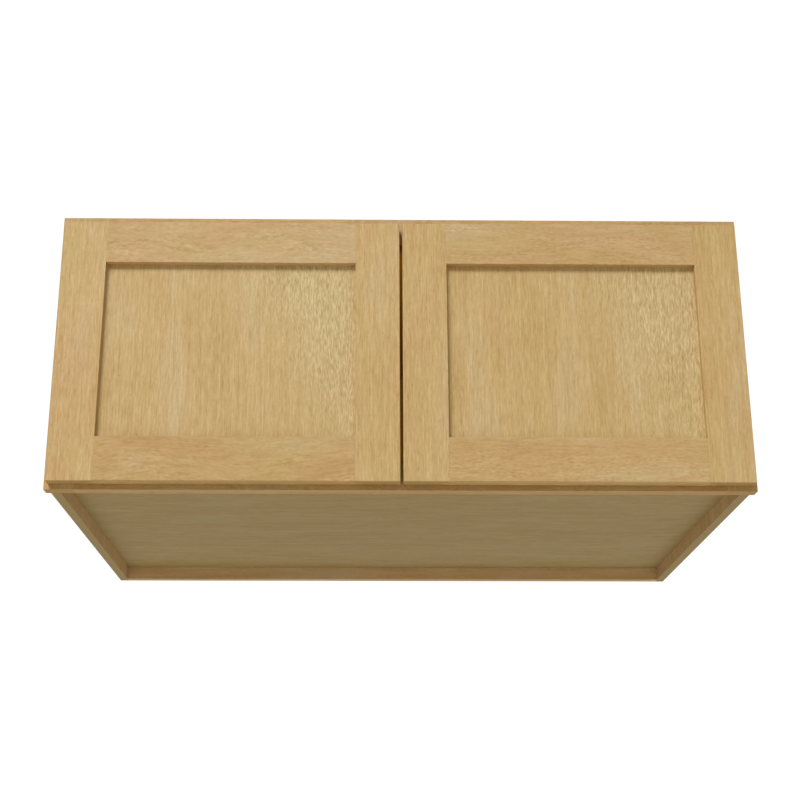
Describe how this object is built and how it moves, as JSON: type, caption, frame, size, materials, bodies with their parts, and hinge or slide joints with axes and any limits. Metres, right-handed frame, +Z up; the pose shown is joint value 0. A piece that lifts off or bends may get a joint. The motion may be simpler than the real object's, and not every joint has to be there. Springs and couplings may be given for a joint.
{
  "type": "wall cabinet",
  "caption": "Deep wall-hung oak cabinet with a face frame and a pair of full-overlay frame-and-panel doors on concealed cup hinges.",
  "frame": {"origin": "centre of the four wall screw holes, in the wall plane", "axes": "+X to the right seen from the room, +Y into the wall, +Z up"},
  "size_m": [0.9144, 0.6096, 0.381],
  "materials": {
    "oak": "light natural oak, satin lacquer, fine open grain",
    "oak_veneer": "light oak veneer, satin lacquer, faint ray fleck",
    "rail_plywood": "unfinished light plywood",
    "nickel_steel": "nickel-plated pressed steel, satin",
    "spring_steel": "oiled spring wire",
    "zinc_screw": "zinc-plated steel",
    "clear_bumper": "clear soft plastic, satin"
  },
  "bodies": {
    "cabinet": {"left_side_panel": "oak_veneer", "right_side_panel": "oak_veneer", "top_panel": "oak_veneer", "bottom_panel": "oak_veneer", "back_panel": "oak_veneer", "upper_hanging_rail": "rail_plywood", "lower_hanging_rail": "rail_plywood", "face_frame_left_stile": "oak", "face_frame_right_stile": "oak", "face_frame_top_rail": "oak", "face_frame_bottom_rail": "oak", "face_frame_screws": "zinc_screw", "hanging_rail_screws": "zinc_screw", "left_hinge_arms": "nickel_steel", "left_arm_screws": "zinc_screw", "left_arm_pins": "nickel_steel", "right_hinge_arms": "nickel_steel", "right_arm_screws": "zinc_screw", "right_arm_pins": "nickel_steel"},
    "left_hinge_linkage": {"left_hinge_links": "nickel_steel"},
    "right_hinge_linkage": {"right_hinge_links": "nickel_steel"},
    "left_door": {"left_door_hinge_stile": "oak", "left_door_lock_stile": "oak", "left_door_top_rail": "oak", "left_door_bottom_rail": "oak", "left_door_panel": "oak_veneer", "left_hinge_cups": "nickel_steel", "left_cup_screws": "zinc_screw", "left_cup_pins": "nickel_steel", "left_hinge_springs": "spring_steel", "left_door_bumpers": "clear_bumper"},
    "right_door": {"right_door_hinge_stile": "oak", "right_door_lock_stile": "oak", "right_door_top_rail": "oak", "right_door_bottom_rail": "oak", "right_door_panel": "oak_veneer", "right_hinge_cups": "nickel_steel", "right_cup_screws": "zinc_screw", "right_cup_pins": "nickel_steel", "right_hinge_springs": "spring_steel", "right_door_bumpers": "clear_bumper"}
  },
  "joints": [
    {"name": "left_door_swing", "type": "hinge", "parent": "left_hinge_linkage", "child": "left_door", "pos_m": [-0.4441, -0.59505, 0], "axis": [0, 0, -1], "range_deg": [0, 143.8]},
    {"name": "left_link_swing", "type": "hinge", "parent": "cabinet", "child": "left_hinge_linkage", "pos_m": [-0.4291, -0.60055, 0], "axis": [0, 0, 1], "range_deg": [0, 38.9]},
    {"name": "right_door_swing", "type": "hinge", "parent": "right_hinge_linkage", "child": "right_door", "pos_m": [0.4441, -0.59505, 0], "axis": [0, 0, 1], "range_deg": [0, 143.8]},
    {"name": "right_link_swing", "type": "hinge", "parent": "cabinet", "child": "right_hinge_linkage", "pos_m": [0.4291, -0.60055, 0], "axis": [0, 0, -1], "range_deg": [0, 38.9]}
  ],
  "couplings": [
    {"joint": "left_link_swing", "follows": "left_door_swing", "ratio": 0.27007},
    {"joint": "right_link_swing", "follows": "right_door_swing", "ratio": 0.27007}
  ]
}
